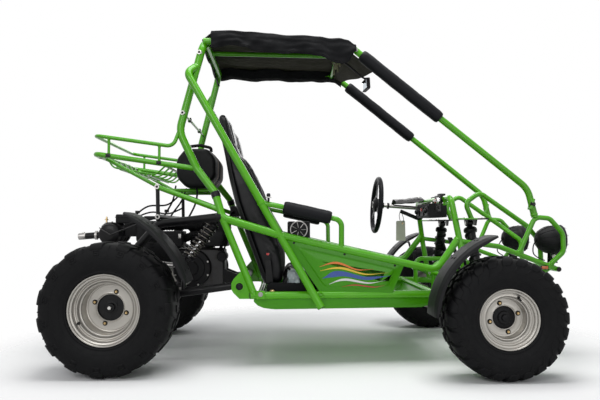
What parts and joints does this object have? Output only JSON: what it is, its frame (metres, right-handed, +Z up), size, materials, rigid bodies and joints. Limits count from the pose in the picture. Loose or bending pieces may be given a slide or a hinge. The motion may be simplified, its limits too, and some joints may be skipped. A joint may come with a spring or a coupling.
{
  "type": "off-road go-kart",
  "caption": "Open tube-frame off-road go-kart with side-by-side seats, steered front wheels, live rear axle, roof cover and rear rack",
  "frame": {"origin": "on the ground, at the middle of the kart's length and width", "axes": "+X forward, +Y to the driver's left, +Z up"},
  "size_m": [2.2841, 1.424, 1.4757],
  "materials": {
    "green_paint": "gloss",
    "black_steel": "satin",
    "black_plastic": "matte",
    "foam": "matte",
    "vinyl": "satin",
    "canvas": "matte",
    "tyre": "matte",
    "rim_steel": "satin",
    "steel": "satin",
    "engine_alloy": "satin",
    "lamp_shell": "gloss"
  },
  "bodies": {
    "chassis": {"cab_side_right": "green_paint", "cab_side_left": "green_paint", "roll_hoop": "green_paint", "roof_frame": "green_paint", "pillar_pad_right": "foam", "pillar_pad_left": "foam", "shoulder_cross_tube": "green_paint", "dash_hoop": "green_paint", "nose_frame": "green_paint", "nose_arch_right": "green_paint", "nose_arch_left": "green_paint", "front_bulkhead": "green_paint", "floor_pan": "green_paint", "rear_rack": "green_paint", "rack_stays": "green_paint", "rear_subframe": "black_steel", "swing_arm": "black_steel", "lower_arm_right": "green_paint", "lower_arm_left": "green_paint", "upper_arm_right": "green_paint", "upper_arm_left": "green_paint", "front_shock_right": "black_steel", "front_shock_left": "black_steel", "rear_shock_right": "steel", "rear_shock_left": "steel", "rear_fender_right": "black_plastic", "rear_fender_left": "black_plastic", "seat_right": "vinyl", "seat_left": "vinyl", "armrest_pad_right": "foam", "armrest_pad_left": "foam", "headlamp_right": "lamp_shell", "headlamp_left": "lamp_shell", "canopy": "canvas", "dash_cover": "black_plastic", "electrics_tray": "black_plastic", "fuel_tank": "black_plastic", "engine": "engine_alloy", "muffler": "black_steel", "air_box": "black_plastic"},
    "rear_wheels": {"rear_axle": "steel", "rear_tyre_right": "tyre", "rear_tyre_left": "tyre", "rear_rim_right": "rim_steel", "rear_rim_left": "rim_steel"},
    "steering_wheel": {"steering_wheel": "black_plastic"},
    "steering_rack": {"tie_rods": "steel"},
    "knuckle_right": {"knuckle_right": "black_steel", "front_fender_right": "black_plastic"},
    "knuckle_left": {"knuckle_left": "black_steel", "front_fender_left": "black_plastic"},
    "front_wheel_right": {"front_tyre_right": "tyre", "front_rim_right": "rim_steel"},
    "front_wheel_left": {"front_tyre_left": "tyre", "front_rim_left": "rim_steel"}
  },
  "joints": [
    {"name": "rear_axle_spin", "type": "hinge", "parent": "chassis", "child": "rear_wheels", "pos_m": [-0.8565, 0, 0.267], "axis": [0, 1, 0], "continuous": true},
    {"name": "steering", "type": "hinge", "parent": "chassis", "child": "steering_wheel", "pos_m": [0.3355, 0.195, 0.708], "axis": [-0.9968, 0, 0.0804], "range_deg": [-135, 135]},
    {"name": "rack_slide", "type": "slide", "parent": "chassis", "child": "steering_rack", "axis": [0, -1, 0], "range_m": [-0.0285, 0.0285]},
    {"name": "steer_right", "type": "hinge", "parent": "chassis", "child": "knuckle_right", "pos_m": [0.7005, -0.545, 0.238], "axis": [0, 0, 1], "range_deg": [-22.1, 22.1]},
    {"name": "steer_left", "type": "hinge", "parent": "chassis", "child": "knuckle_left", "pos_m": [0.7005, 0.545, 0.238], "axis": [0, 0, 1], "range_deg": [-22.1, 22.1]},
    {"name": "front_wheel_spin_right", "type": "hinge", "parent": "knuckle_right", "child": "front_wheel_right", "pos_m": [0.7005, -0.62, 0.238], "axis": [0, 1, 0], "continuous": true},
    {"name": "front_wheel_spin_left", "type": "hinge", "parent": "knuckle_left", "child": "front_wheel_left", "pos_m": [0.7005, 0.62, 0.238], "axis": [0, 1, 0], "continuous": true}
  ],
  "couplings": [
    {"joint": "rack_slide", "follows": "steering", "m_per_rad": 0.011924},
    {"joint": "steer_right", "follows": "steering", "ratio": 0.16296},
    {"joint": "steer_left", "follows": "steering", "ratio": 0.16296}
  ]
}
